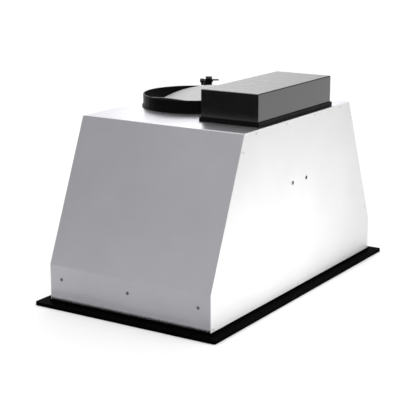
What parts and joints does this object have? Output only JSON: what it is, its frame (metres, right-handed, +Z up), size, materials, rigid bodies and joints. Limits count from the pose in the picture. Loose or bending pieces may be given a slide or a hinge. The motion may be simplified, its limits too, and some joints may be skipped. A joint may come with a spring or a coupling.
{
  "type": "range hood insert",
  "caption": "Sheet-metal range hood insert with flared ends, black mounting flange, electrical box, round duct collar with butterfly damper, baffle filters and a centrifugal blower.",
  "frame": {"origin": "centre of the underside of the mounting flange", "axes": "+X to the right along the width, +Y to the rear, +Z up through the duct collar"},
  "size_m": [0.7, 0.41, 0.4146],
  "materials": {
    "stainless_sheet": "satin",
    "black_flange": "gloss",
    "galvanised_sheet": "satin",
    "rivet_steel": "satin",
    "mandrel_steel": "satin",
    "screw_steel": "satin",
    "black_plastic": "satin",
    "black_rubber": "matte",
    "damper_sheet": "satin",
    "axle_steel": "satin",
    "black_box": "gloss",
    "board": "satin",
    "transformer": "matte",
    "terminal": "matte",
    "capacitor": "satin",
    "lead": "matte",
    "clamp_zinc": "satin",
    "motor_shell": "satin",
    "stator_steel": "matte",
    "wheel": "satin",
    "filter_steel": "satin",
    "knob_steel": "polished",
    "clip_steel": "satin",
    "button": "satin",
    "lens": "frosted",
    "bezel": "polished",
    "lamp_can": "satin"
  },
  "bodies": {
    "hood": {"canopy_wrap": "stainless_sheet", "front_panel": "stainless_sheet", "rear_panel": "stainless_sheet", "front_base_angle": "galvanised_sheet", "rear_base_angle": "galvanised_sheet", "left_mounting_rail": "galvanised_sheet", "right_mounting_rail": "galvanised_sheet", "mounting_flange": "black_flange", "blind_rivets": "rivet_steel", "rivet_mandrels": "mandrel_steel", "pan_screws": "screw_steel", "bottom_pan": "stainless_sheet", "left_filter_clips": "clip_steel", "right_filter_clips": "clip_steel", "lamp_bezels": "bezel", "lamp_lenses": "lens", "lamp_cans": "lamp_can", "switch_block": "black_plastic", "duct_collar": "black_plastic", "collar_gasket": "black_rubber", "damper_axle": "axle_steel", "electrical_box_base": "black_box", "electrical_box_cover": "black_box", "electrical_box_screws": "screw_steel", "control_board": "board", "transformer": "transformer", "terminal_block": "terminal", "run_capacitor": "capacitor", "wire_grommets": "black_rubber", "inner_leads": "lead", "cable_clamp_body": "clamp_zinc", "cable_clamp_bar": "clamp_zinc", "cable_clamp_screws": "screw_steel", "cable_clamp_nut": "clamp_zinc", "scroll_wrap": "galvanised_sheet", "scroll_left_plate": "galvanised_sheet", "scroll_right_plate": "galvanised_sheet", "outlet_frame": "galvanised_sheet", "blower_screws": "screw_steel", "motor_bracket": "galvanised_sheet", "motor_front_bell": "motor_shell", "motor_rear_bell": "motor_shell", "motor_stator": "stator_steel", "motor_bearings": "axle_steel"},
    "left_flap": {"left_damper_flap": "damper_sheet"},
    "right_flap": {"right_damper_flap": "damper_sheet"},
    "rotor": {"motor_shaft": "axle_steel", "motor_rotor": "stator_steel", "impeller": "wheel"},
    "left_filter": {"left_filter_frame": "filter_steel", "left_filter_baffles": "filter_steel", "left_filter_knobs": "knob_steel"},
    "right_filter": {"right_filter_frame": "filter_steel", "right_filter_baffles": "filter_steel", "right_filter_knobs": "knob_steel"},
    "power_push": {"power_button": "button"},
    "low_speed_push": {"low_speed_button": "button"},
    "mid_speed_push": {"mid_speed_button": "button"},
    "high_speed_push": {"high_speed_button": "button"},
    "light_push": {"light_button": "button"}
  },
  "joints": [
    {"name": "left_flap_hinge", "type": "hinge", "parent": "hood", "child": "left_flap", "pos_m": [0, 0.065, 0.3456], "axis": [0, 1, 0], "range_deg": [0, 55]},
    {"name": "right_flap_hinge", "type": "hinge", "parent": "hood", "child": "right_flap", "pos_m": [0, 0.065, 0.3456], "axis": [0, -1, 0], "range_deg": [0, 55]},
    {"name": "rotor_spin", "type": "hinge", "parent": "hood", "child": "rotor", "pos_m": [0, 0.003, 0.195], "axis": [1, 0, 0], "continuous": true},
    {"name": "left_filter_hinge", "type": "hinge", "parent": "hood", "child": "left_filter", "pos_m": [-0.157, 0.1565, 0.0043], "axis": [1, 0, 0], "range_deg": [0, 50], "deforming": ["left_filter_clips"]},
    {"name": "right_filter_hinge", "type": "hinge", "parent": "hood", "child": "right_filter", "pos_m": [0.157, 0.1565, 0.0043], "axis": [1, 0, 0], "range_deg": [0, 50], "deforming": ["right_filter_clips"]},
    {"name": "power_press", "type": "slide", "parent": "hood", "child": "power_push", "axis": [0, 0, 1], "range_m": [0, 0.0015], "stiffness_N_per_m": 800},
    {"name": "low_speed_press", "type": "slide", "parent": "hood", "child": "low_speed_push", "axis": [0, 0, 1], "range_m": [0, 0.0015], "stiffness_N_per_m": 800},
    {"name": "mid_speed_press", "type": "slide", "parent": "hood", "child": "mid_speed_push", "axis": [0, 0, 1], "range_m": [0, 0.0015], "stiffness_N_per_m": 800},
    {"name": "high_speed_press", "type": "slide", "parent": "hood", "child": "high_speed_push", "axis": [0, 0, 1], "range_m": [0, 0.0015], "stiffness_N_per_m": 800},
    {"name": "light_press", "type": "slide", "parent": "hood", "child": "light_push", "axis": [0, 0, 1], "range_m": [0, 0.0015], "stiffness_N_per_m": 800}
  ]
}
